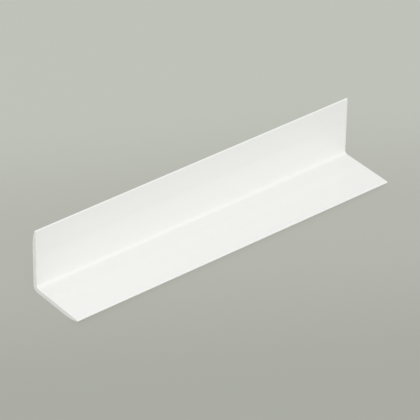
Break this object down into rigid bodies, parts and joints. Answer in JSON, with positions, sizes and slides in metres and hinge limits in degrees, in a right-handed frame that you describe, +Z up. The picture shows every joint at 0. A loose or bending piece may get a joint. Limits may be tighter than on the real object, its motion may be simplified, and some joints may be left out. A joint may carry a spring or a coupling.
{
  "type": "corner angle",
  "caption": "Equal-leg plastic corner angle cut from an extrusion: an L section with a rounded heel, a filleted root and thin lips, for covering or lining a corner.",
  "frame": {"origin": "middle of the length and of the flat leg's width, on the plane that the angle lies on", "axes": "+X along the extrusion, +Y from the flat leg's tip towards the heel, +Z up along the upright leg"},
  "size_m": [0.217, 0.04, 0.04],
  "materials": {
    "white_pvc": "satin"
  },
  "bodies": {
    "root": {"corner_angle": "white_pvc"}
  },
  "joints": []
}
